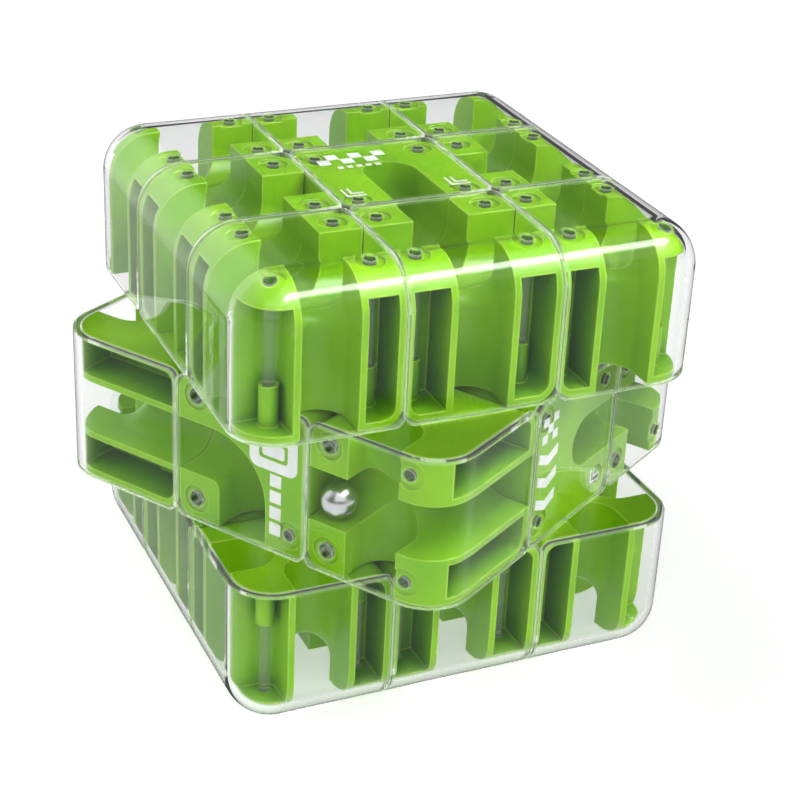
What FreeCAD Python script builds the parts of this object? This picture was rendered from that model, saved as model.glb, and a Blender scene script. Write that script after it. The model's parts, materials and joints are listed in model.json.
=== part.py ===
import FreeCAD, Part
import math
import os

from FreeCAD import Vector

# A 3 x 3 x 3 turning maze cube.  Each of its twenty-six cells has a moulded body, cut
# with half-round ball tracks, under a clear cover.  A core with sprung screws holds the
# six centres, the centres hold the edges' feet and the edges hold the corners' feet.
# Shapes are made about the cube's centre and lifted at the end, so that z = 0 is the
# face that the cube stands on.  All sizes are in millimetres.

# ---- driving dimensions -------------------------------------------------------------
PITCH = 25.0            # centre to centre of neighbouring cells
EDGE_R = 7.5            # rounding of the cube's outer edges
TURN_GAP = 0.1          # from a turning plane to the cell on each side of it
MIDDLE_TURN = 32.0      # how far the middle layer stands turned, in degrees

COVER_T = 1.2           # clear cover's wall
COVER_GAP = 0.2         # between a cover and the body under it
COVER_CORNER_R = 1.5    # rounding of a cover's corners where four meet

BODY_CORNER_R = 3.0     # rounding of a body's corners where four meet
TRACK_W = 9.0           # width of a ball track
TRACK_DEPTH = 8.6       # from a body's face to the bottom of a track
TRACK_INSET = 1.0       # outer tracks lie this much nearer the cube's middle than their cells
TRACK_BEND_R = 6.5      # centre line's radius where a track runs over an edge
ELBOW_R = 6.0           # the same where a track turns within a face
START_AT = 4.7          # round end of the first track, from its face's middle
END_AT = 0.6            # round end of the last track, from its face's middle

WALL = 1.1              # wall round an open pocket
POCKET_DEPTH = 7.3      # from a body's face to the back of a pocket
POCKET_ROOF = 3.2       # block between a pocket's end and the face above it
POCKET_R = 2.0          # rounding of a pocket's foot beside a seam, and of its back

BALL_D = 6.0
BALL_CLEAR = 0.05       # between the ball and the track wall that it lies on
BALL_TO_COVER = 0.3     # between the ball and the clear cover
BALL_FROM_SEAM = 3.5    # ball's centre from the seam of its edge cell

PIN_D = 1.8             # clear pins that hold a cover
PIN_CLEAR = 0.1         # radial, between a pin and its hole
PIN_OFFSET = 9.0        # pins from a cell's middle
PIN_INSET = 6.0         # pins in the outer blocks, from the body's side face
SHORT_PIN = 5.0         # reach of the pins in blocks that have no pocket
SOCKET_D = 3.0          # tube in a pocket that takes a long pin
SOCKET_H = 6.5
SOCKET_CLEAR = 0.4      # from the upright edge's tube to the walls behind it
SINK_D = 4.6            # shallow sink round each pin hole
SINK_DEPTH = 0.4
HEX_AF = 2.6            # hexagonal socket of a side cell, across flats
HEX_DEPTH = 3.0

FOOT_COVER = 2.4        # from a corner cell's inner vertex to the sphere over the feet
FOOT_T = 4.5            # thickness of each layer of feet
OUTER_CONE = 65.0       # half angle of the turning surfaces among the outer feet
INNER_CONE = 70.5       # the same among the inner feet
FOOT_GAP = 0.15         # between a foot and a turning surface
NECK = 1.0              # overlap of a neck with the feet that it joins
ROOT = 7.0              # square inner end of a cell's block, over its feet

CORE_GAP = 2.0          # between the inner feet and the core, and the hubs' bases
ARM_D = 6.8
SCREW_D = 2.6
SCREW_BITE = 8.0        # length of screw in an arm
SCREW_CLEAR = 0.05      # radial, in the arm's hole and in the hub that turns on it
HEAD_D = 5.0
HEAD_T = 1.6
HEAD_CLEAR = 0.6        # over a screw's head
SLOT_W = 0.6            # cross slot in a screw's head
HUB_STEM_D = 10.0
HUB_FLOOR = 1.6
HUB_WELL_D = 6.2        # well in a hub for the spring
BOSS_D = 11.0           # hub's boss in its centre body
BOSS_CLEAR = 0.05
TRACK_FLOOR = 1.2       # least plastic between a boss and a track
WASHER_D = 5.6
WASHER_T = 0.4
SPRING_D = 5.0
SPRING_WIRE = 0.7
SPRING_TURNS = 3
SEAT_GAP = 0.05         # between faces that only rest on each other

# ---- worked out from them -----------------------------------------------------------
HALF = PITCH / 2
FACE = 1.5 * PITCH                          # a cover's outer face, from the centre
COVER_INSIDE = FACE - COVER_T
BODY_FACE = COVER_INSIDE - COVER_GAP
COVER_INSIDE_R = EDGE_R - COVER_T
BODY_EDGE_R = COVER_INSIDE_R - COVER_GAP
INNER = HALF + TURN_GAP                     # inner faces of an outer cell
SIDE = HALF - TURN_GAP                      # side faces of a middle cell
BEYOND = FACE + 10.0                        # safely outside the cube
TRACK_R = TRACK_W / 2
TRACK_BOTTOM = BODY_FACE - TRACK_DEPTH
TRACK_AXIS = TRACK_BOTTOM + TRACK_R
TRACK_AT = PITCH - TRACK_INSET              # outer tracks from the cube's middle
INNER_BLOCK = TRACK_AT - TRACK_R            # far side of the blocks next to the seams
OUTER_WALL = TRACK_AT + TRACK_R + WALL      # pocket's side of the wall beyond a track
POCKET_BACK = BODY_FACE - POCKET_DEPTH
POCKET_TOP = BODY_FACE - POCKET_ROOF
POCKET_FOOT = INNER + WALL
HOLE_R = PIN_D / 2 + PIN_CLEAR
PIN_ROOT = FACE - COVER_T / 2               # pins start inside the cover's wall
BLOCK_PIN = (INNER + INNER_BLOCK) / 2       # pins in the blocks next to the seams
RIM_PIN = BODY_FACE - PIN_INSET             # pins in the outer blocks
CORNER_PIN = OUTER_WALL + SOCKET_D / 2 + SOCKET_CLEAR

FOOT_R2 = HALF * math.sqrt(3) + FOOT_COVER  # sphere over the outer feet
FOOT_R1 = FOOT_R2 - FOOT_T                  # between the outer and inner feet
FOOT_R0 = FOOT_R1 - FOOT_T                  # under the inner feet
CORE_R = FOOT_R0 - CORE_GAP
HUB_BASE = FOOT_R0 + CORE_GAP
BOSS_TOP = TRACK_BOTTOM - TRACK_FLOOR
ARM_END = HUB_BASE - SEAT_GAP
SCREW_TIP = ARM_END - SCREW_BITE
HEAD_TOP = BOSS_TOP - HEAD_CLEAR
WASHER_Z = HUB_BASE + HUB_FLOOR + SEAT_GAP
SPRING_Z0 = WASHER_Z + WASHER_T + SEAT_GAP
SPRING_Z1 = HEAD_TOP - HEAD_T - SEAT_GAP

X = Vector(1, 0, 0)
Y = Vector(0, 1, 0)
Z = Vector(0, 0, 1)
ORIGIN = Vector(0, 0, 0)

# The directions that the x, y and z of a drawing on the +z face take on each face.
FACES = {
    "top": (X, Y, Z),
    "bottom": (-X, Y, -Z),
    "front": (X, Z, -Y),
    "back": (-X, Z, Y),
    "left": (-Y, Z, -X),
    "right": (Y, Z, X),
}
SIDES = ("front", "back", "left", "right")


# ---- plain shapes -------------------------------------------------------------------
def box(x0, x1, y0, y1, z0, z1):
    return Part.makeBox(x1 - x0, y1 - y0, z1 - z0, Vector(x0, y0, z0))


def rod(radius, z0, z1, x=0.0, y=0.0):
    return Part.makeCylinder(radius, z1 - z0, Vector(x, y, z0), Z)


def hexagon(across_flats, z0, z1, x, y):
    radius = across_flats / math.sqrt(3)
    points = []
    for i in range(7):
        angle = math.radians(60 * i)
        points.append(Vector(x + radius * math.cos(angle), y + radius * math.sin(angle), z0))
    return Part.Face(Part.makePolygon(points)).extrude(Z * (z1 - z0))


def ball(radius):
    return Part.makeSphere(radius)


def shell(inner, outer):
    return ball(outer).cut(ball(inner))


def fuse(shapes):
    return shapes[0].fuse(list(shapes[1:])).removeSplitter()


def turned(shape, axes):
    """A copy whose x, y and z lie along the three given axes."""
    copy = shape.copy()
    copy.Placement = FreeCAD.Placement(ORIGIN, FreeCAD.Rotation(*axes, "XYZ"))
    return copy


def about_z(shape, degrees):
    copy = shape.copy()
    copy.rotate(ORIGIN, Z, degrees)
    return copy


def across(shape):
    """The mirror image on the other side of the plane x = y."""
    return shape.mirror(ORIGIN, Vector(1, -1, 0))


def on_faces(shape, faces):
    return [turned(shape, FACES[face]) for face in faces]


def edges_at(shape, *places):
    """The edges whose middles have the given x, y and z, where None is anywhere."""
    found = []
    for edge in shape.Edges:
        gaps = [abs(at - place) for at, place in zip(edge.CenterOfMass, places) if place is not None]
        if max(gaps) < 1e-3:
            found.append(edge)
    return found


# ---- a cell's room, body block and cover ----------------------------------------------
def rounded_cube(half, radius):
    cube = box(-half, half, -half, half, -half, half)
    return cube.makeFillet(radius, cube.Edges)


def cell(spans, radius):
    """One cell's room, open outwards: each span is 0 or 1 along x, y and z."""
    limits = []
    for span in spans:
        limits += [INNER, BEYOND] if span else [-SIDE, SIDE]
    room = box(*limits)
    return room.makeFillet(radius, room.Edges)


def block(spans):
    return cell(spans, BODY_CORNER_R).common(rounded_cube(BODY_FACE, BODY_EDGE_R))


def cover(spans, pins):
    skin = rounded_cube(FACE, EDGE_R).cut(rounded_cube(COVER_INSIDE, COVER_INSIDE_R))
    return fuse([skin.common(cell(spans, COVER_CORNER_R))] + pins)


# ---- feet, between spheres and cones about the face axes --------------------------------
def cone(axis, half_angle, gap):
    """The room inside a cone about an axis, less a gap at its surface, clear of the core."""
    slope = math.tan(math.radians(half_angle))
    apex = gap / math.sin(math.radians(half_angle))
    start = FOOT_R0 * math.cos(math.radians(half_angle)) / 2
    end = 1.5 * FOOT_R2
    return Part.makeCone(start * slope, end * slope, end - start, axis * (apex + start), axis)


def within(shape, axes, half_angle):
    for axis in axes:
        shape = shape.common(cone(axis, half_angle, FOOT_GAP))
    return shape


def between_sides(shape, half_angle):
    """What of an edge's shape lies between the turning surfaces on its two sides."""
    for axis in (X, -X):
        shape = shape.cut(cone(axis, half_angle, -FOOT_GAP))
    return shape


def root(spans):
    """The inner end of a cell's block, square all round, which its feet hang from."""
    limits = []
    for span in spans:
        limits += [INNER, INNER + ROOT] if span else [-SIDE, SIDE]
    return box(*limits)


def corner_feet():
    """The foot of a corner and the root above it."""
    foot = shell(FOOT_R1 + FOOT_GAP, FOOT_R2 - FOOT_GAP)
    return [within(foot, (X, Y, Z), OUTER_CONE), root((1, 1, 1))]


def edge_feet():
    """The outer and inner feet of an edge, the neck between them and the root above."""
    outer = shell(FOOT_R1 + FOOT_GAP, FOOT_R2 - FOOT_GAP)
    inner = shell(FOOT_R0 + FOOT_GAP, FOOT_R1 - FOOT_GAP)
    neck = shell(FOOT_R1 - NECK, FOOT_R1 + NECK)
    return [
        between_sides(within(outer, (Y, Z), OUTER_CONE), OUTER_CONE),
        between_sides(within(inner, (Y, Z), INNER_CONE), INNER_CONE),
        between_sides(within(neck, (Y, Z), OUTER_CONE), INNER_CONE),
        between_sides(root((0, 1, 1)), OUTER_CONE).cut(ball(FOOT_R2 - NECK)),
    ]


# ---- ball tracks, drawn on the +z face ----------------------------------------------------
def track_profile(bottom, top):
    """A half-round track's section in the xz plane, open at its top."""
    axis = bottom + TRACK_R
    floor = Part.Arc(Vector(-TRACK_R, 0, axis), Vector(0, 0, bottom), Vector(TRACK_R, 0, axis))
    sides = [Vector(TRACK_R, 0, axis), Vector(TRACK_R, 0, top),
             Vector(-TRACK_R, 0, top), Vector(-TRACK_R, 0, axis)]
    return Part.Face(Part.Wire([floor.toShape()] + Part.makePolygon(sides).Edges))


def track(start, end):
    """A straight track along x or y between two points of the face."""
    profile = track_profile(TRACK_BOTTOM, BEYOND)
    run = Vector(*end, 0) - Vector(*start, 0)
    if abs(run.x) > abs(run.y):
        profile.rotate(ORIGIN, Z, 90)
    profile.translate(Vector(*start, 0))
    return profile.extrude(run)


def track_end(x, y):
    """The round end of a track that stops within a face."""
    nose = Part.makeSphere(TRACK_R, Vector(x, y, TRACK_AXIS))
    return fuse([nose, rod(TRACK_R, TRACK_AXIS, BEYOND, x, y)])


def elbow():
    """The bend of a track that comes from the -x side and leaves by the -y side."""
    profile = track_profile(TRACK_BOTTOM, BEYOND)
    profile.rotate(ORIGIN, Z, 90)
    profile.translate(Vector(-ELBOW_R, 0, 0))
    return profile.revolve(Vector(-ELBOW_R, -ELBOW_R, 0), -Z, 90)


def track_over_edge(x):
    """A track from the face's middle over its +y edge and down to the seam below."""
    bend = TRACK_AXIS - TRACK_BEND_R
    profile = track_profile(TRACK_BEND_R - TRACK_R, BEYOND - bend)
    profile.translate(Vector(x, bend, bend))
    pivot = Vector(x, bend, bend)
    run = profile.extrude(Vector(0, -bend, 0))
    fall = profile.extrude(Vector(0, bend, 0))
    fall.rotate(pivot, -X, 90)
    return [run, profile.revolve(pivot, -X, 90), fall]


def crossing():
    return [track((-HALF, 0), (HALF, 0)), track((0, -HALF), (0, HALF))]


def bent_track():
    return [track((-HALF, 0), (-ELBOW_R, 0)), elbow(), track((0, -ELBOW_R), (0, -HALF))]


def first_track():
    return [track_end(START_AT, 0), track((START_AT, 0), (HALF, 0))]


def last_track():
    return [track_end(END_AT, END_AT), track((END_AT, END_AT), (END_AT, -HALF))]


# ---- pins, holes, pockets and sockets, drawn on the +z face -------------------------------
def sink(x, y):
    return rod(SINK_D / 2, BODY_FACE - SINK_DEPTH, BEYOND, x, y)


def long_hole(x, y):
    return [rod(HOLE_R, POCKET_FOOT + SOCKET_H / 4, BEYOND, x, y), sink(x, y)]


def short_hole(x, y):
    return [rod(HOLE_R, BODY_FACE - SHORT_PIN - PIN_CLEAR, BEYOND, x, y), sink(x, y)]


def hex_hole(x, y):
    return [hexagon(HEX_AF, BODY_FACE - HEX_DEPTH, BEYOND, x, y), sink(x, y)]


def long_pin(x, y):
    return rod(PIN_D / 2, POCKET_FOOT + SOCKET_H / 2, PIN_ROOT, x, y)


def short_pin(x, y):
    return rod(PIN_D / 2, BODY_FACE - SHORT_PIN, PIN_ROOT, x, y)


def hex_pin(x, y):
    flats = HEX_AF - 2 * PIN_CLEAR
    return hexagon(flats, BODY_FACE - HEX_DEPTH + PIN_CLEAR, PIN_ROOT, x, y)


def socket(x, y):
    return rod(SOCKET_D / 2, POCKET_FOOT - WALL / 2, POCKET_FOOT + SOCKET_H, x, y)


def side_pocket(near_seam, near_track):
    """A pocket open to +y, its foot rounded beside the seam."""
    x0, x1 = sorted((near_seam, near_track))
    room = box(x0, x1, POCKET_BACK, BEYOND, POCKET_FOOT, POCKET_TOP)
    return room.makeFillet(POCKET_R, edges_at(room, near_seam, None, POCKET_FOOT))


def corner_pocket():
    """A pocket open round the cube's upright edge, with a rounded back."""
    room = box(OUTER_WALL, BEYOND, OUTER_WALL, BEYOND, POCKET_FOOT, POCKET_TOP)
    return room.makeFillet(POCKET_R, edges_at(room, OUTER_WALL, OUTER_WALL, None))


# ---- the three kinds of cell: each returns its body and its cover --------------------------
def corner_cell():
    """The corner at +x +y +z, whose tracks cross on the +z face."""
    over = track_over_edge(TRACK_AT)
    pocket = side_pocket(POCKET_FOOT, INNER_BLOCK - WALL)
    cuts = over + [across(shape) for shape in over]
    cuts += [pocket, across(pocket), corner_pocket()]
    sites = ((BLOCK_PIN, RIM_PIN), (RIM_PIN, BLOCK_PIN), (CORNER_PIN, CORNER_PIN))
    holes = short_hole(BLOCK_PIN, BLOCK_PIN)
    pins = [short_pin(BLOCK_PIN, BLOCK_PIN)]
    sockets = []
    for site in sites:
        sockets.append(socket(*site))
        holes += long_hole(*site)
        pins.append(long_pin(*site))
    body = fuse([block((1, 1, 1)).cut(cuts)] + sockets).cut(holes)
    return fuse([body] + corner_feet()), cover((1, 1, 1), pins)


def edge_cell(block_hole, block_pin):
    """The edge at +y +z, whose tracks cross on the +z face."""
    cuts = track_over_edge(0) + [track((-HALF, TRACK_AT), (HALF, TRACK_AT))]
    sockets = []
    holes = []
    pins = []
    for side in (-1, 1):
        cuts.append(side_pocket(side * (SIDE - WALL), side * (TRACK_R + WALL)))
        sockets.append(socket(side * PIN_OFFSET, RIM_PIN))
        holes += long_hole(side * PIN_OFFSET, RIM_PIN) + block_hole(side * PIN_OFFSET, BLOCK_PIN)
        pins.append(long_pin(side * PIN_OFFSET, RIM_PIN))
        pins.append(block_pin(side * PIN_OFFSET, BLOCK_PIN))
    body = block((0, 1, 1)).cut(cuts + [ball(FOOT_R2 + FOOT_GAP)])
    body = fuse([body] + sockets).cut(holes)
    return fuse([body] + edge_feet()), cover((0, 1, 1), pins)


def centre_cell(tracks, hex_side=0):
    """The centre at +z, with hexagonal sockets on one side or on neither."""
    cuts = tracks + [ball(FOOT_R2 + FOOT_GAP), rod(BOSS_D / 2 + BOSS_CLEAR, 0, BOSS_TOP)]
    pins = []
    for x in (-PIN_OFFSET, PIN_OFFSET):
        for y in (-PIN_OFFSET, PIN_OFFSET):
            six_sided = x * hex_side > 0
            cuts += hex_hole(x, y) if six_sided else short_hole(x, y)
            pins.append(hex_pin(x, y) if six_sided else short_pin(x, y))
    return block((0, 0, 1)).cut(cuts), cover((0, 0, 1), pins)


# ---- core, hubs and what springs them, drawn along +z ---------------------------------------
def core():
    arm = rod(ARM_D / 2, 0, ARM_END)
    bore = rod(SCREW_D / 2 + SCREW_CLEAR, SCREW_TIP - SEAT_GAP, BEYOND)
    return fuse([ball(CORE_R)] + on_faces(arm, FACES)).cut(on_faces(bore, FACES))


def hub():
    disc = shell(FOOT_R1 + FOOT_GAP, FOOT_R2 - FOOT_GAP).common(cone(Z, 90 - OUTER_CONE, FOOT_GAP))
    stem = rod(HUB_STEM_D / 2, HUB_BASE, FOOT_R1 + NECK)
    boss = rod(BOSS_D / 2, FOOT_R1 + NECK, BOSS_TOP - BOSS_CLEAR)
    well = rod(HUB_WELL_D / 2, HUB_BASE + HUB_FLOOR, BEYOND)
    bore = rod(SCREW_D / 2 + SCREW_CLEAR, 0, BEYOND)
    return fuse([disc, stem, boss]).cut([well, bore])


def screw():
    shank = rod(SCREW_D / 2, SCREW_TIP, HEAD_TOP)
    head = rod(HEAD_D / 2, HEAD_TOP - HEAD_T, HEAD_TOP)
    reach = HEAD_D / 3
    slot = box(-reach, reach, -SLOT_W / 2, SLOT_W / 2, HEAD_TOP - HEAD_T / 2, BEYOND)
    return fuse([shank, head]).cut([slot, about_z(slot, 90)])


def washer():
    hole = rod(SCREW_D / 2 + SCREW_CLEAR, 0, BEYOND)
    return rod(WASHER_D / 2, WASHER_Z, WASHER_Z + WASHER_T).cut(hole)


def spring():
    radius = (SPRING_D - SPRING_WIRE) / 2
    start = SPRING_Z0 + SPRING_WIRE / 2
    height = SPRING_Z1 - SPRING_Z0 - SPRING_WIRE
    path = Part.makeLongHelix(height / SPRING_TURNS, height, radius)
    path.translate(Vector(0, 0, start))
    wire = Part.Wire(Part.makeCircle(SPRING_WIRE / 2, Vector(radius, 0, start), Y))
    return Part.Wire(path.Edges).makePipeShell([wire], True, True)


def steel_ball():
    """The ball, in the middle layer's front left edge, on the lower wall of its track."""
    at = Vector(BALL_D / 2 + BALL_TO_COVER - COVER_INSIDE, -HALF - BALL_FROM_SEAM,
                BALL_D / 2 + BALL_CLEAR - TRACK_R)
    return Part.makeSphere(BALL_D / 2, at)


# ---- placing and saving ------------------------------------------------------------------
def save(name, shape, layer):
    """Stands the cube on z = 0 and turns what belongs to the middle layer."""
    placed = about_z(shape, MIDDLE_TURN) if layer == "middle" else shape.copy()
    placed.translate(Z * FACE)
    placed.exportStep(os.path.join("parts", name + ".step"))
    print(f"{name:36s} valid {placed.isValid()}  solids {len(placed.Solids)}  "
          f"volume {placed.Volume:9.1f}")


def save_cell(place, cell_parts, axes, turn, layer):
    for kind, shape in zip(("body", "cover"), cell_parts):
        save(f"{place}_{kind}", about_z(turned(shape, axes), turn), layer)


def save_cells():
    corner = corner_cell()
    upright = (X, Y, Z)
    for turn, place in ((0, "back_right"), (90, "back_left"), (180, "front_left"), (270, "front_right")):
        save_cell(f"top_{place}_corner", corner, upright, turn, "top")
    flipped = (X, -Y, -Z)
    for turn, place in ((0, "front_right"), (90, "back_right"), (180, "back_left"), (270, "front_left")):
        save_cell(f"bottom_{place}_corner", corner, flipped, turn, "bottom")

    edge = edge_cell(short_hole, short_pin)
    for turn, place in ((0, "back"), (90, "left"), (180, "front"), (270, "right")):
        save_cell(f"top_{place}_edge", edge, upright, turn, "top")
        save_cell(f"bottom_{place}_edge", edge, (-X, Y, -Z), turn, "bottom")
    side_edge = edge_cell(hex_hole, hex_pin)
    for turn, place in ((0, "front_left"), (90, "front_right"), (180, "back_right"), (270, "back_left")):
        save_cell(f"middle_{place}_edge", side_edge, (-Z, -Y, -X), turn, "middle")

    centres = {
        "top": centre_cell(last_track()),
        "bottom": centre_cell(crossing()),
        "front": centre_cell(first_track()),
        "back": centre_cell(crossing()),
        "left": centre_cell(bent_track(), hex_side=-1),
        "right": centre_cell(bent_track()),
    }
    for face, parts in centres.items():
        layer = "middle" if face in SIDES else face
        save_cell(f"{face}_centre", parts, FACES[face], 0, layer)


def save_mechanism():
    save("core", core(), "middle")
    for name, shape in (("hub_screws", screw()), ("hub_washers", washer()), ("hub_springs", spring())):
        save(name, Part.makeCompound(on_faces(shape, FACES)), "middle")
    save("top_hub", turned(hub(), FACES["top"]), "top")
    save("bottom_hub", turned(hub(), FACES["bottom"]), "bottom")
    save("side_hubs", Part.makeCompound(on_faces(hub(), SIDES)), "middle")
    save("steel_ball", steel_ball(), "middle")


os.makedirs("parts", exist_ok=True)
save_cells()
save_mechanism()
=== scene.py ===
import json
import math

import bmesh
import bpy
from mathutils import Matrix, Quaternion, Vector


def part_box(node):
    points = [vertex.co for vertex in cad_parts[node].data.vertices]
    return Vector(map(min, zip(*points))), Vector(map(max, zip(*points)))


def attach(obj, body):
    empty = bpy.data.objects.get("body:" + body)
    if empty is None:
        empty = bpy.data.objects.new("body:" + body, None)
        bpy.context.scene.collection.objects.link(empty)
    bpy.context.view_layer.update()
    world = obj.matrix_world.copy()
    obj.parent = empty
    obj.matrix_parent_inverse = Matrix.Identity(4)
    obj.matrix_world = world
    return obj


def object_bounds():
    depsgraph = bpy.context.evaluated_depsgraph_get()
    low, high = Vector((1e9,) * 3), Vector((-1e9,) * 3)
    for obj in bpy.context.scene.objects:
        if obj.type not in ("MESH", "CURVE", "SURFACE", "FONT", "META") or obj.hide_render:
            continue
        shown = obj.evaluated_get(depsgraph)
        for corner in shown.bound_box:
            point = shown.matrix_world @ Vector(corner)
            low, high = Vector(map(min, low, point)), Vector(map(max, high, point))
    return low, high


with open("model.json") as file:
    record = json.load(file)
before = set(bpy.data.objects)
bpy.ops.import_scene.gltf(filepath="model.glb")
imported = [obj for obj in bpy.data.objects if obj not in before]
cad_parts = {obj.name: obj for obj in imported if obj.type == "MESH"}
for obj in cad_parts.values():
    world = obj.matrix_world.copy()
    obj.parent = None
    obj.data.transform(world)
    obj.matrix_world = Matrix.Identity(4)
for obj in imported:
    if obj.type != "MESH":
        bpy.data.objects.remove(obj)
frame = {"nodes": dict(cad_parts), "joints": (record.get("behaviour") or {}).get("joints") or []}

cad_low, cad_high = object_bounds()


# ---- core ------------------------------------------------------------------------------
# A ball with six arms, moulded in dark nylon and hidden in the middle of the cube.  The
# six screws turn in its arms.  Its finish is satin, a little blotched by the mould.
MM = 0.001
CORE_COLOURS = ((0.030, 0.031, 0.033, 1), (0.055, 0.056, 0.060, 1))
CORE_ROUGHNESS = (0.42, 0.55)
CORE_BLOTCHES = 110.0
NYLON_SKIN = 0.02 * MM

nodes = frame["nodes"]


def new_material(name):
    """A material with a Principled shader; returns it with its nodes, links and shader."""
    material = bpy.data.materials.new(name)
    material.use_nodes = True
    tree = material.node_tree
    return material, tree.nodes, tree.links, tree.nodes["Principled BSDF"]


def moulding_group():
    """Blotches of the mould's surface and the fine skin of a moulded plastic."""
    group = bpy.data.node_groups.new("moulding", "ShaderNodeTree")
    for name, kind, value in (("Low Colour", "NodeSocketColor", (0.5, 0.5, 0.5, 1)),
                              ("High Colour", "NodeSocketColor", (0.6, 0.6, 0.6, 1)),
                              ("Low Roughness", "NodeSocketFloat", 0.3),
                              ("High Roughness", "NodeSocketFloat", 0.4),
                              ("Blotch Scale", "NodeSocketFloat", 90.0),
                              ("Skin Scale", "NodeSocketFloat", 2600.0)):
        socket = group.interface.new_socket(name, in_out="INPUT", socket_type=kind)
        socket.default_value = value
    for name, kind in (("Colour", "NodeSocketColor"), ("Roughness", "NodeSocketFloat"),
                       ("Height", "NodeSocketFloat")):
        group.interface.new_socket(name, in_out="OUTPUT", socket_type=kind)
    given = group.nodes.new("NodeGroupInput")
    result = group.nodes.new("NodeGroupOutput")
    place = group.nodes.new("ShaderNodeTexCoord")
    blotch = group.nodes.new("ShaderNodeTexNoise")
    blotch.inputs["Detail"].default_value = 3.0
    skin = group.nodes.new("ShaderNodeTexNoise")
    skin.inputs["Detail"].default_value = 2.0
    spread = group.nodes.new("ShaderNodeMapRange")
    spread.inputs["From Min"].default_value = 0.35
    spread.inputs["From Max"].default_value = 0.65
    colour = group.nodes.new("ShaderNodeMix")
    colour.data_type = "RGBA"
    rough = group.nodes.new("ShaderNodeMix")
    rough.data_type = "FLOAT"
    link = group.links.new
    link(place.outputs["Object"], blotch.inputs["Vector"])
    link(place.outputs["Object"], skin.inputs["Vector"])
    link(given.outputs["Blotch Scale"], blotch.inputs["Scale"])
    link(given.outputs["Skin Scale"], skin.inputs["Scale"])
    link(blotch.outputs["Fac"], spread.inputs["Value"])
    link(spread.outputs["Result"], colour.inputs["Factor"])
    link(given.outputs["Low Colour"], colour.inputs["A"])
    link(given.outputs["High Colour"], colour.inputs["B"])
    link(skin.outputs["Fac"], rough.inputs["Factor"])
    link(given.outputs["Low Roughness"], rough.inputs["A"])
    link(given.outputs["High Roughness"], rough.inputs["B"])
    link(colour.outputs["Result"], result.inputs["Colour"])
    link(rough.outputs["Result"], result.inputs["Roughness"])
    link(skin.outputs["Fac"], result.inputs["Height"])
    return group


MOULDING = moulding_group()


def moulded_plastic(name, colours, roughness, blotch_scale, skin_depth):
    """A material that varies between two colours and two roughnesses, with a bumpy skin."""
    material, parts, links, shader = new_material(name)
    finish = parts.new("ShaderNodeGroup")
    finish.node_tree = MOULDING
    finish.inputs["Low Colour"].default_value = colours[0]
    finish.inputs["High Colour"].default_value = colours[1]
    finish.inputs["Low Roughness"].default_value = roughness[0]
    finish.inputs["High Roughness"].default_value = roughness[1]
    finish.inputs["Blotch Scale"].default_value = blotch_scale
    bump = parts.new("ShaderNodeBump")
    bump.inputs["Distance"].default_value = skin_depth
    links.new(finish.outputs["Colour"], shader.inputs["Base Color"])
    links.new(finish.outputs["Roughness"], shader.inputs["Roughness"])
    links.new(finish.outputs["Height"], bump.inputs["Height"])
    links.new(bump.outputs["Normal"], shader.inputs["Normal"])
    return material


def finish_node(name, material):
    """Gives a CAD node its material."""
    nodes[name].material_slots[0].material = material


core_nylon = moulded_plastic("core_nylon", CORE_COLOURS, CORE_ROUGHNESS, CORE_BLOTCHES, NYLON_SKIN)
finish_node("core", core_nylon)


# ---- hubs ------------------------------------------------------------------------------
# Six discs on the core's arms, moulded in natural nylon.  A centre cell is pressed on
# each, and the feet of the edge cells run under it.
HUB_COLOURS = ((0.70, 0.69, 0.65, 1), (0.80, 0.79, 0.75, 1))
HUB_ROUGHNESS = (0.36, 0.46)
HUB_BLOTCHES = 140.0

hub_nylon = moulded_plastic("hub_nylon", HUB_COLOURS, HUB_ROUGHNESS, HUB_BLOTCHES, NYLON_SKIN)
for name in ("top_hub", "bottom_hub", "side_hubs"):
    finish_node(name, hub_nylon)


# ---- screws, washers and springs -------------------------------------------------------
# Plated steel: one screw, washer and coil spring in each hub draw the cell inwards.  The
# plating is dull in places and catches the light unevenly.
STEEL_COLOURS = ((0.52, 0.52, 0.53, 1), (0.66, 0.66, 0.65, 1))
STEEL_ROUGHNESS = (0.22, 0.38)
STEEL_BLOTCHES = 400.0
PLATING_SKIN = 0.01 * MM


def bare_metal(name, colours, roughness, blotch_scale, skin_depth):
    """The same varied finish, on metal."""
    material = moulded_plastic(name, colours, roughness, blotch_scale, skin_depth)
    material.node_tree.nodes["Principled BSDF"].inputs["Metallic"].default_value = 1.0
    return material


zinc = bare_metal("plated_steel", STEEL_COLOURS, STEEL_ROUGHNESS, STEEL_BLOTCHES, PLATING_SKIN)
for name in ("hub_screws", "hub_washers", "hub_springs"):
    finish_node(name, zinc)


# ---- track blocks ----------------------------------------------------------------------
# Each cell's body is moulded in lime ABS with half-round tracks, open pockets and tubes for
# the cover's pins.  Every edge carries a paler, yellower painted highlight, and painted shade
# makes the plastic deeper green inside the pockets.
LIME_COLOURS = ((0.176, 0.440, 0.004, 1), (0.240, 0.510, 0.007, 1))
LIME_ROUGHNESS = (0.24, 0.34)
LIME_IOR = 1.5
LIME_SHINE = 0.30
RIM_HIGHLIGHT_COLOUR = (0.44, 0.70, 0.08, 1)
PAINTED_SHADE_COLOUR = (0.060, 0.240, 0.012, 1)
PAINTED_SHADE_REACH = 7.0 * MM
PAINTED_SHADE_RANGE = (0.20, 0.80)
LIME_BLOTCHES = 70.0
LIME_SKIN = 0.012 * MM
RIM_REACH = 0.45 * MM
RIM_GAIN = 5.0
SOFT_EDGE = 0.30 * MM


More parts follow.
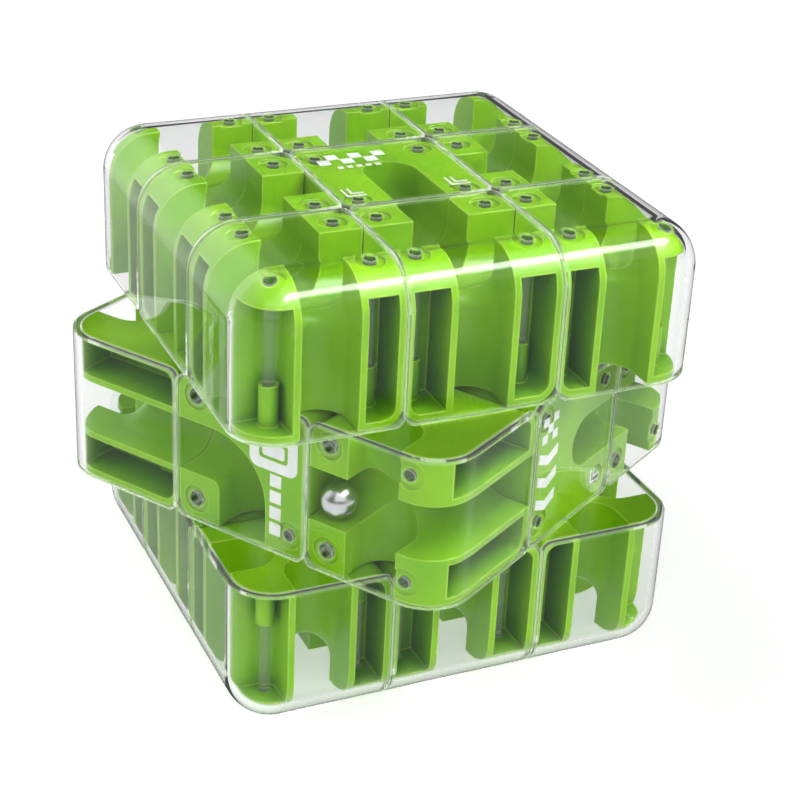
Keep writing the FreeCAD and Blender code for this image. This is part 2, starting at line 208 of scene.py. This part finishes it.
def rim_group():
    """A mask that is 1 along the edges of a moulding, and the normal of its softened edges."""
    group = bpy.data.node_groups.new("rims", "ShaderNodeTree")
    for name, value in (("Rim Reach", 0.0004), ("Edge Radius", 0.0003), ("Gain", 6.0)):
        socket = group.interface.new_socket(name, in_out="INPUT", socket_type="NodeSocketFloat")
        socket.default_value = value
    group.interface.new_socket("Rim", in_out="OUTPUT", socket_type="NodeSocketFloat")
    group.interface.new_socket("Normal", in_out="OUTPUT", socket_type="NodeSocketVector")
    given = group.nodes.new("NodeGroupInput")
    result = group.nodes.new("NodeGroupOutput")
    wide = group.nodes.new("ShaderNodeBevel")
    wide.samples = 6
    soft = group.nodes.new("ShaderNodeBevel")
    soft.samples = 4
    surface = group.nodes.new("ShaderNodeNewGeometry")
    along = group.nodes.new("ShaderNodeVectorMath")
    along.operation = "DOT_PRODUCT"
    away = group.nodes.new("ShaderNodeMath")
    away.operation = "SUBTRACT"
    away.inputs[0].default_value = 1.0
    gain = group.nodes.new("ShaderNodeMath")
    gain.operation = "MULTIPLY"
    gain.use_clamp = True
    link = group.links.new
    link(given.outputs["Rim Reach"], wide.inputs["Radius"])
    link(given.outputs["Edge Radius"], soft.inputs["Radius"])
    link(wide.outputs["Normal"], along.inputs[0])
    link(surface.outputs["Normal"], along.inputs[1])
    link(along.outputs["Value"], away.inputs[1])
    link(away.outputs["Value"], gain.inputs[0])
    link(given.outputs["Gain"], gain.inputs[1])
    link(gain.outputs["Value"], result.inputs["Rim"])
    link(soft.outputs["Normal"], result.inputs["Normal"])
    return group


RIMS = rim_group()


def lime_plastic():
    """Lime ABS: moulded plastic with painted highlights on its edges and painted shade in its
    recesses.
    """
    material = moulded_plastic("lime_plastic", LIME_COLOURS, LIME_ROUGHNESS, LIME_BLOTCHES, LIME_SKIN)
    parts, links = material.node_tree.nodes, material.node_tree.links
    shader = parts["Principled BSDF"]
    finish = next(n for n in parts if n.type == "GROUP")
    bump = next(n for n in parts if n.type == "BUMP")
    rims = parts.new("ShaderNodeGroup")
    rims.node_tree = RIMS
    rims.inputs["Rim Reach"].default_value = RIM_REACH
    rims.inputs["Edge Radius"].default_value = SOFT_EDGE
    rims.inputs["Gain"].default_value = RIM_GAIN
    # Painted shade: the colour turns deeper green where the body's own occlusion finds recesses.
    open_air = parts.new("ShaderNodeAmbientOcclusion")
    open_air.only_local = True
    open_air.samples = 5
    open_air.inputs["Distance"].default_value = PAINTED_SHADE_REACH
    shallow = parts.new("ShaderNodeMapRange")
    shallow.inputs["From Min"].default_value = PAINTED_SHADE_RANGE[0]
    shallow.inputs["From Max"].default_value = PAINTED_SHADE_RANGE[1]
    painted_shade = parts.new("ShaderNodeMix")
    painted_shade.data_type = "RGBA"
    painted_shade.inputs["A"].default_value = PAINTED_SHADE_COLOUR
    links.new(open_air.outputs["AO"], shallow.inputs["Value"])
    links.new(shallow.outputs["Result"], painted_shade.inputs["Factor"])
    links.new(finish.outputs["Colour"], painted_shade.inputs["B"])
    # Painted highlight: the edges are mixed towards a paler, yellower colour.
    painted_highlight = parts.new("ShaderNodeMix")
    painted_highlight.data_type = "RGBA"
    painted_highlight.inputs["B"].default_value = RIM_HIGHLIGHT_COLOUR
    links.new(rims.outputs["Rim"], painted_highlight.inputs["Factor"])
    links.new(painted_shade.outputs["Result"], painted_highlight.inputs["A"])
    links.new(painted_highlight.outputs["Result"], shader.inputs["Base Color"])
    links.new(rims.outputs["Normal"], bump.inputs["Normal"])
    shader.inputs["IOR"].default_value = LIME_IOR
    shader.inputs["Specular IOR Level"].default_value = LIME_SHINE
    return material


lime = lime_plastic()
for name in nodes:
    if name.endswith("_body"):
        finish_node(name, lime)


# ---- printed marks ---------------------------------------------------------------------
# White ink printed on three of the centre cells: a finish line at the last track's end,
# arrows beside the first track, and a plain badge over four tiles on the left centre.
INK_T = 0.06 * MM
INK_COLOURS = ((0.80, 0.81, 0.80, 1), (0.88, 0.89, 0.88, 1))
INK_ROUGHNESS = (0.40, 0.52)
INK_BLOTCHES = 500.0
INK_SKIN = 0.006 * MM
WELD = INK_T / 20
CUBE_MIDDLE = Vector((0, 0, (cad_low[2] + cad_high[2]) / 2))
BODY_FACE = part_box("top_centre_body")[1].z - CUBE_MIDDLE.z

# The ball's track runs square to the middle layer's front face, so it tells that layer's turn.
ball_roll = next(joint for joint in frame["joints"] if joint["name"] == "ball_roll")
MIDDLE_TURN = math.atan2(-ball_roll["axis"][0], ball_roll["axis"][1])

ink = moulded_plastic("white_ink", INK_COLOURS, INK_ROUGHNESS, INK_BLOTCHES, INK_SKIN)


def squares_tree():
    """Geometry Nodes: a grid of printed squares, whole or as a chequer."""
    tree = bpy.data.node_groups.new("printed_squares", "GeometryNodeTree")
    tree.interface.new_socket("Geometry", in_out="OUTPUT", socket_type="NodeSocketGeometry")
    for name, kind, value in (("Columns", "NodeSocketInt", 4),
                              ("Rows", "NodeSocketInt", 2),
                              ("Pitch", "NodeSocketFloat", 2.0 * MM),
                              ("Half Diagonal", "NodeSocketFloat", 1.0 * MM),
                              ("Thickness", "NodeSocketFloat", INK_T),
                              ("Chequer", "NodeSocketBool", False)):
        socket = tree.interface.new_socket(name, in_out="INPUT", socket_type=kind)
        socket.default_value = value
    tree.interface.new_socket("Ink", in_out="INPUT", socket_type="NodeSocketMaterial")
    add = tree.nodes.new
    link = tree.links.new

    def math_node(operation, a, b):
        """The result of a Math node on two numbers or sockets."""
        node = add("ShaderNodeMath")
        node.operation = operation
        for socket, value in zip(node.inputs, (a, b)):
            if isinstance(value, (int, float)):
                socket.default_value = value
            else:
                link(value, socket)
        return node.outputs[0]

    given = add("NodeGroupInput").outputs
    result = add("NodeGroupOutput")
    width = math_node("MULTIPLY", given["Pitch"], math_node("SUBTRACT", given["Columns"], 1))
    depth = math_node("MULTIPLY", given["Pitch"], math_node("SUBTRACT", given["Rows"], 1))
    grid = add("GeometryNodeMeshGrid")
    link(width, grid.inputs["Size X"])
    link(depth, grid.inputs["Size Y"])
    link(given["Columns"], grid.inputs["Vertices X"])
    link(given["Rows"], grid.inputs["Vertices Y"])
    square = add("GeometryNodeMeshCylinder")
    square.inputs["Vertices"].default_value = 4
    link(given["Half Diagonal"], square.inputs["Radius"])
    link(given["Thickness"], square.inputs["Depth"])
    turn = add("GeometryNodeTransform")
    turn.inputs["Rotation"].default_value = (0, 0, math.pi / 4)
    link(square.outputs["Mesh"], turn.inputs["Geometry"])
    index = add("GeometryNodeInputIndex").outputs[0]
    column = math_node("FLOOR", math_node("DIVIDE", index, given["Rows"]), 0)
    row = math_node("MODULO", index, given["Rows"])
    parity = math_node("MODULO", math_node("ADD", row, column), 2)
    odd = math_node("MULTIPLY", given["Chequer"], parity)
    drop = add("FunctionNodeCompare")
    drop.data_type = "FLOAT"
    drop.operation = "LESS_THAN"
    link(odd, drop.inputs["A"])
    drop.inputs["B"].default_value = 0.5
    spread = add("GeometryNodeInstanceOnPoints")
    link(grid.outputs["Mesh"], spread.inputs["Points"])
    link(drop.outputs["Result"], spread.inputs["Selection"])
    link(turn.outputs["Geometry"], spread.inputs["Instance"])
    whole = add("GeometryNodeRealizeInstances")
    link(spread.outputs["Instances"], whole.inputs["Geometry"])
    inked = add("GeometryNodeSetMaterial")
    link(whole.outputs["Geometry"], inked.inputs["Geometry"])
    link(given["Ink"], inked.inputs["Material"])
    link(inked.outputs["Geometry"], result.inputs["Geometry"])
    return tree


SQUARES = squares_tree()


def printed_squares(columns, rows, pitch, half_diagonal, chequer=False):
    """A flat grid of squares as a plain mesh about the origin, its underside at z = 0."""
    holder = bpy.data.objects.new("squares", bpy.data.meshes.new("squares"))
    bpy.context.scene.collection.objects.link(holder)
    modifier = holder.modifiers.new("squares", "NODES")
    modifier.node_group = SQUARES
    values = {"Columns": columns, "Rows": rows, "Pitch": pitch, "Half Diagonal": half_diagonal,
              "Thickness": INK_T, "Chequer": chequer, "Ink": ink}
    for socket in SQUARES.interface.items_tree:
        if socket.in_out == "INPUT":
            modifier[socket.identifier] = values[socket.name]
    evaluated = holder.evaluated_get(bpy.context.evaluated_depsgraph_get())
    mesh = bpy.data.meshes.new_from_object(evaluated)
    bpy.data.objects.remove(holder)
    mesh.transform(Matrix.Translation((0, 0, INK_T / 2)))
    return mesh


def printed_shape(outlines):
    """Flat closed prisms with the given outlines, counter-clockwise, in metres."""
    work = bmesh.new()
    for outline in outlines:
        low = [work.verts.new((x, y, 0)) for x, y in outline]
        high = [work.verts.new((x, y, INK_T)) for x, y in outline]
        work.faces.new(reversed(low))
        work.faces.new(high)
        for i, vert in enumerate(low):
            after = (i + 1) % len(low)
            work.faces.new((vert, low[after], high[after], high[i]))
    mesh = bpy.data.meshes.new("outlines")
    work.to_mesh(mesh)
    work.free()
    return mesh


def bar(x0, x1, y0, y1):
    """The outline of a rectangle."""
    return [(x0, y0), (x1, y0), (x1, y1), (x0, y1)]


def chevron(y, width, height, stroke):
    """An arrow head about x = 0 that points down, its back corners at y."""
    half = width / 2
    return [(0, y - height), (half, y - stroke), (half, y), (0, y - height + stroke),
            (-half, y), (-half, y - stroke)]


def rounded(half_x, half_y, radius, steps=6):
    """The corners of a rectangle about the origin with rounded ends, counter-clockwise."""
    outline = []
    for quarter, (sx, sy) in enumerate(((1, 1), (-1, 1), (-1, -1), (1, -1))):
        for step in range(steps + 1):
            angle = math.pi / 2 * (quarter + step / steps)
            outline.append((sx * (half_x - radius) + radius * math.cos(angle),
                            sy * (half_y - radius) + radius * math.sin(angle)))
    return outline


def band(outer, inner):
    """The band between two closed outlines with equal counts, as quadrilaterals side by side."""
    return [[inner[i - 1], outer[i - 1], outer[i], inner[i]] for i in range(len(outer))]


def print_on(name, face, turn, meshes, body):
    """Joins printed meshes, given with their places on a face, and lays them on a cell."""
    x_axis, y_axis, out = face
    to_face = Matrix((x_axis, y_axis, out)).transposed().to_4x4()
    lift = Matrix.Translation(CUBE_MIDDLE) @ Matrix.Rotation(turn, 4, "Z") @ to_face
    work = bmesh.new()
    for mesh, (x, y) in meshes:
        mesh.transform(lift @ Matrix.Translation((x, y, BODY_FACE)))
        work.from_mesh(mesh)
    bmesh.ops.remove_doubles(work, verts=work.verts, dist=WELD)
    bmesh.ops.recalc_face_normals(work, faces=work.faces)
    mesh = bpy.data.meshes.new(name)
    work.to_mesh(mesh)
    work.free()
    mesh.materials.clear()
    mesh.materials.append(ink)
    for polygon in mesh.polygons:
        polygon.material_index = 0
    piece = bpy.data.objects.new(name, mesh)
    bpy.context.scene.collection.objects.link(piece)
    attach(piece, body)


# A face's level axis, its other axis, and its outward normal.
TOP = (Vector((1, 0, 0)), Vector((0, 1, 0)), Vector((0, 0, 1)))
FRONT = (Vector((1, 0, 0)), Vector((0, 0, 1)), Vector((0, -1, 0)))
LEFT = (Vector((0, -1, 0)), Vector((0, 0, 1)), Vector((-1, 0, 0)))


def maze_glyph(size, stroke):
    """A small corner of a maze: two nested right angles."""
    half = size / 2
    return [
        bar(-half, half, -half, -half + stroke),
        bar(-half, -half + stroke, -half + stroke, half),
        bar(-half + 3 * stroke, half, -half + 3 * stroke, -half + 4 * stroke),
        bar(-half + 3 * stroke, -half + 4 * stroke, -half + 4 * stroke, half),
    ]


# A grid's columns and rows, its pitch, and its squares' half diagonal.
FINISH_LINE = (6, 2, 2.0 * MM, 1.41 * MM)
FINISH_ROW = (5, 1, 1.6 * MM, 0.62 * MM)
START_CHEQUER = (3, 3, 1.5 * MM, 1.06 * MM)
BADGE_TILES = (1, 4, 2.8 * MM, 1.5 * MM)
# A glyph's size and stroke.
FINISH_GLYPH = (3.2 * MM, 0.35 * MM)
START_GLYPH = (2.6 * MM, 0.30 * MM)
# An arrow head's width, height and stroke.
ARROW = (5.6 * MM, 2.9 * MM, 1.7 * MM)
ARROW_TOP = 3.4 * MM
ARROW_STEP = 4.0 * MM
# A rounded outline's half width, half height and corner radius.
BADGE = (4.5 * MM, 3.5 * MM, 1.6 * MM)
BADGE_HOLE = (2.7 * MM, 1.7 * MM, 0.6 * MM)
BADGE_HEART = (2.1 * MM, 1.1 * MM, 0.5 * MM)

finish_line = printed_squares(*FINISH_LINE, chequer=True)
finish_row = printed_squares(*FINISH_ROW)
glyph_left = printed_shape(maze_glyph(*FINISH_GLYPH))
glyph_right = printed_shape(maze_glyph(*FINISH_GLYPH))
print_on("finish_marks", TOP, 0.0,
         [(finish_line, (-3.2 * MM, 8.0 * MM)), (finish_row, (-3.2 * MM, 4.4 * MM)),
          (glyph_left, (-8.6 * MM, -6.0 * MM)), (glyph_right, (9.0 * MM, -6.0 * MM))], "top_layer")

arrows = printed_shape([chevron(ARROW_TOP - i * ARROW_STEP, *ARROW) for i in range(3)])
start_chequer = printed_squares(*START_CHEQUER, chequer=True)
start_glyph = printed_shape(maze_glyph(*START_GLYPH))
print_on("start_marks", FRONT, MIDDLE_TURN,
         [(arrows, (-7.6 * MM, 0.0)), (start_chequer, (-7.6 * MM, 7.0 * MM)),
          (start_glyph, (8.6 * MM, -8.2 * MM))], "middle_layer")

badge = printed_shape(band(rounded(*BADGE), rounded(*BADGE_HOLE)) + [rounded(*BADGE_HEART)])
tiles = printed_squares(*BADGE_TILES)
print_on("badge_marks", LEFT, MIDDLE_TURN,
         [(badge, (5.9 * MM, 4.6 * MM)), (tiles, (6.4 * MM, -4.6 * MM))], "middle_layer")


# ---- steel ball ------------------------------------------------------------------------
# A stock 6 mm bearing ball, hardened, ground and polished.  Rolling in the tracks has
# dulled it a little, unevenly.
BALL_COLOURS = ((0.60, 0.60, 0.61, 1), (0.68, 0.68, 0.68, 1))
BALL_ROUGHNESS = (0.20, 0.26)
BALL_BLOTCHES = 300.0
BALL_SKIN = 0.001 * MM

ball_steel = bare_metal("ball_steel", BALL_COLOURS, BALL_ROUGHNESS, BALL_BLOTCHES, BALL_SKIN)
finish_node("steel_ball", ball_steel)


# ---- clear covers ----------------------------------------------------------------------
# One polished cap of clear polystyrene over each cell, 1.2 mm thick, pressed on with pins.
# Handling has left hair-fine scratches, and the mould a very slight waviness.  The edges
# show as thin pale lines of painted glow.
CLEAR_TINT = (0.960, 0.970, 0.966, 1)
CLEAR_SHADOW = (0.93, 0.95, 0.94, 1)
CLEAR_ROUGHNESS = (0.0, 0.035)
CLEAR_IOR = 1.31
SCRATCH_SCALE = 900.0
SCRATCHED = (0.45, 0.75)
WAVE_SCALE = 60.0
CLEAR_WAVE = 0.02 * MM
EDGE_REACH = 1.0 * MM
EDGE_GAIN = 9.0
EDGE_ALPHA = 0.30
PAINTED_EDGE_GLOW = (0.90, 0.95, 0.86, 1)
PAINTED_GLOW_STRENGTH = 0.45
DEEPEST = 3.5


def clear_plastic():
    """Polished clear plastic, faintly scratched, with a painted glow along its edges."""
    material, parts, links, shader = new_material("clear_plastic")
    shader.inputs["Base Color"].default_value = CLEAR_TINT
    shader.inputs["Transmission Weight"].default_value = 1.0
    shader.inputs["IOR"].default_value = CLEAR_IOR
    place = parts.new("ShaderNodeTexCoord")
    scratch = parts.new("ShaderNodeTexNoise")
    scratch.inputs["Scale"].default_value = SCRATCH_SCALE
    scratch.inputs["Detail"].default_value = 4.0
    rough = parts.new("ShaderNodeMapRange")
    rough.inputs["From Min"].default_value = SCRATCHED[0]
    rough.inputs["From Max"].default_value = SCRATCHED[1]
    rough.inputs["To Min"].default_value = CLEAR_ROUGHNESS[0]
    rough.inputs["To Max"].default_value = CLEAR_ROUGHNESS[1]
    wave = parts.new("ShaderNodeTexNoise")
    wave.inputs["Scale"].default_value = WAVE_SCALE
    bump = parts.new("ShaderNodeBump")
    bump.inputs["Distance"].default_value = CLEAR_WAVE
    for texture in (scratch, wave):
        links.new(place.outputs["Object"], texture.inputs["Vector"])
    links.new(scratch.outputs["Fac"], rough.inputs["Value"])
    links.new(rough.outputs["Result"], shader.inputs["Roughness"])
    links.new(wave.outputs["Fac"], bump.inputs["Height"])
    links.new(bump.outputs["Normal"], shader.inputs["Normal"])
    rims = parts.new("ShaderNodeGroup")
    rims.node_tree = RIMS
    rims.inputs["Rim Reach"].default_value = EDGE_REACH
    rims.inputs["Gain"].default_value = EDGE_GAIN
    thin = parts.new("ShaderNodeMapRange")
    thin.inputs["To Min"].default_value = 1.0
    thin.inputs["To Max"].default_value = EDGE_ALPHA
    links.new(rims.outputs["Rim"], thin.inputs["Value"])
    links.new(thin.outputs["Result"], shader.inputs["Alpha"])
    # Painted glow: the edges give off a pale light, though they are no lamp.
    painted_glow = parts.new("ShaderNodeMix")
    painted_glow.data_type = "RGBA"
    painted_glow.inputs["A"].default_value = (0, 0, 0, 1)
    painted_glow.inputs["B"].default_value = PAINTED_EDGE_GLOW
    links.new(rims.outputs["Rim"], painted_glow.inputs["Factor"])
    links.new(painted_glow.outputs["Result"], shader.inputs["Emission Color"])
    shader.inputs["Emission Strength"].default_value = PAINTED_GLOW_STRENGTH
    # Shadows pass straight through, and so does light that has turned often inside.
    path = parts.new("ShaderNodeLightPath")
    deep = parts.new("ShaderNodeMath")
    deep.operation = "GREATER_THAN"
    deep.inputs[1].default_value = DEEPEST
    passes = parts.new("ShaderNodeMath")
    passes.operation = "MAXIMUM"
    lets_light = parts.new("ShaderNodeBsdfTransparent")
    lets_light.inputs["Color"].default_value = CLEAR_SHADOW
    either = parts.new("ShaderNodeMixShader")
    links.new(path.outputs["Ray Depth"], deep.inputs[0])
    links.new(path.outputs["Is Shadow Ray"], passes.inputs[0])
    links.new(deep.outputs["Value"], passes.inputs[1])
    links.new(passes.outputs["Value"], either.inputs["Fac"])
    links.new(shader.outputs["BSDF"], either.inputs[1])
    links.new(lets_light.outputs["BSDF"], either.inputs[2])
    links.new(either.outputs["Shader"], parts["Material Output"].inputs["Surface"])
    return material


clear = clear_plastic()
for name in nodes:
    if name.endswith("_cover"):
        finish_node(name, clear)


# ---- table, lights and camera ----------------------------------------------------------
# The cube stands on a plain pale table in a white studio.  A long strip light and the haze
# round it show along the front edge, and a soft panel fills in from the front.
TABLE_HALF = 20.0
TABLE_COLOUR = (0.92, 0.92, 0.92, 1)
TABLE_ROUGHNESS = 0.6
TABLE_GLOW = 0.50
# A direction, the cosines where its light starts and is full, and the light at each.
SKY = ((0.0, -0.80, 0.60), 0.40, 0.95, 0.07, 0.86)
WALL = ((-0.75, 0.65, 0.50), 0.52, 0.86, 0.0, 1.25)
DARK_CARD = ((-0.37, -0.81, 0.36), 0.90, 0.985, 0.0, -0.65)
# A light's direction, distance, width, height and power.
STRIP = ((0.36, -0.43, 0.83), 1.5, 1.05, 0.26, 21.0)
HAZE = ((0.36, -0.43, 0.83), 1.9, 2.20, 1.70, 9.0)
PANEL = ((-0.45, -0.80, 0.60), 2.2, 1.60, 1.60, 8.0)


def table():
    """The pale table top, which the cube doesn't mirror."""
    mesh = bpy.data.meshes.new("table")
    corners = [(-TABLE_HALF, -TABLE_HALF, 0), (TABLE_HALF, -TABLE_HALF, 0),
               (TABLE_HALF, TABLE_HALF, 0), (-TABLE_HALF, TABLE_HALF, 0)]
    mesh.from_pydata(corners, [], [(0, 1, 2, 3)])
    material, parts, links, shader = new_material("table_top")
    shader.inputs["Base Color"].default_value = TABLE_COLOUR
    shader.inputs["Roughness"].default_value = TABLE_ROUGHNESS
    shader.inputs["Emission Color"].default_value = (1, 1, 1, 1)
    shader.inputs["Emission Strength"].default_value = TABLE_GLOW
    mesh.materials.append(material)
    top = bpy.data.objects.new("table", mesh)
    top.visible_glossy = False
    bpy.context.scene.collection.objects.link(top)


def softbox(name, direction, distance, width, height, power):
    """A rectangular light on a line from the cube, its width level, that faces the cube."""
    light = bpy.data.lights.new(name, "AREA")
    light.shape = "RECTANGLE"
    light.size = width
    light.size_y = height
    light.energy = power
    lamp = bpy.data.objects.new(name, light)
    lamp.location = CUBE_MIDDLE + Vector(direction).normalized() * distance
    lamp.rotation_euler = Vector(direction).to_track_quat("Z", "Y").to_euler()
    bpy.context.scene.collection.objects.link(lamp)
    return lamp


def surroundings():
    """A white studio: a bright sky, a wall behind at the left, and a dark card at the camera."""
    world = bpy.data.worlds.new("studio")
    world.use_nodes = True
    parts, links = world.node_tree.nodes, world.node_tree.links
    place = parts.new("ShaderNodeTexCoord")
    light = None
    for side, start, end, low, high in (SKY, WALL, DARK_CARD):
        facing = parts.new("ShaderNodeVectorMath")
        facing.operation = "DOT_PRODUCT"
        facing.inputs[1].default_value = Vector(side).normalized()
        ramp = parts.new("ShaderNodeMapRange")
        ramp.interpolation_type = "SMOOTHSTEP"
        ramp.inputs["From Min"].default_value = start
        ramp.inputs["From Max"].default_value = end
        ramp.inputs["To Min"].default_value = low
        ramp.inputs["To Max"].default_value = high
        total = parts.new("ShaderNodeMath")
        links.new(place.outputs["Generated"], facing.inputs[0])
        links.new(facing.outputs["Value"], ramp.inputs["Value"])
        links.new(ramp.outputs["Result"], total.inputs[0])
        if light is None:
            total.inputs[1].default_value = 0.0
        else:
            links.new(light.outputs["Value"], total.inputs[1])
        light = total
    backdrop = parts["Background"]
    backdrop.inputs["Color"].default_value = (1, 1, 1, 1)
    links.new(light.outputs["Value"], backdrop.inputs["Strength"])
    bpy.context.scene.world = world


table()
surroundings()
strip = softbox("overhead_strip", *STRIP)
haze = softbox("strip_haze", *HAZE)
for lamp in (strip, haze):
    lamp.visible_diffuse = False
softbox("front_panel", *PANEL)

VIEW_AZIMUTH = -24.31
VIEW_ELEVATION = 26.73
VIEW_DISTANCE = 0.3217
AIM_AZIMUTH = VIEW_AZIMUTH - 0.78
AIM_ELEVATION = VIEW_ELEVATION + 0.84
VIEW_ROLL = 2.94
LENS = 87.13
SENSOR = 36.0
SHIFT = (-0.002, 0.0146)


def towards(azimuth, elevation):
    """The direction from the cube at an azimuth and an elevation, in degrees."""
    a, e = math.radians(azimuth), math.radians(elevation)
    return Vector((math.sin(a) * math.cos(e), -math.cos(a) * math.cos(e), math.sin(e)))


def camera():
    """A long lens above the front left edge, aimed a little past the cube's middle."""
    lens = bpy.data.cameras.new("camera")
    lens.sensor_width = SENSOR
    lens.lens = LENS
    lens.shift_x, lens.shift_y = SHIFT
    holder = bpy.data.objects.new("camera", lens)
    holder.location = CUBE_MIDDLE + towards(VIEW_AZIMUTH, VIEW_ELEVATION) * VIEW_DISTANCE
    aim = towards(AIM_AZIMUTH, AIM_ELEVATION).to_track_quat("Z", "Y")
    holder.rotation_euler = (aim @ Quaternion((0, 0, 1), math.radians(VIEW_ROLL))).to_euler()
    bpy.context.scene.collection.objects.link(holder)
    bpy.context.scene.camera = holder
    bpy.context.scene.view_settings.view_transform = "Standard"


camera()
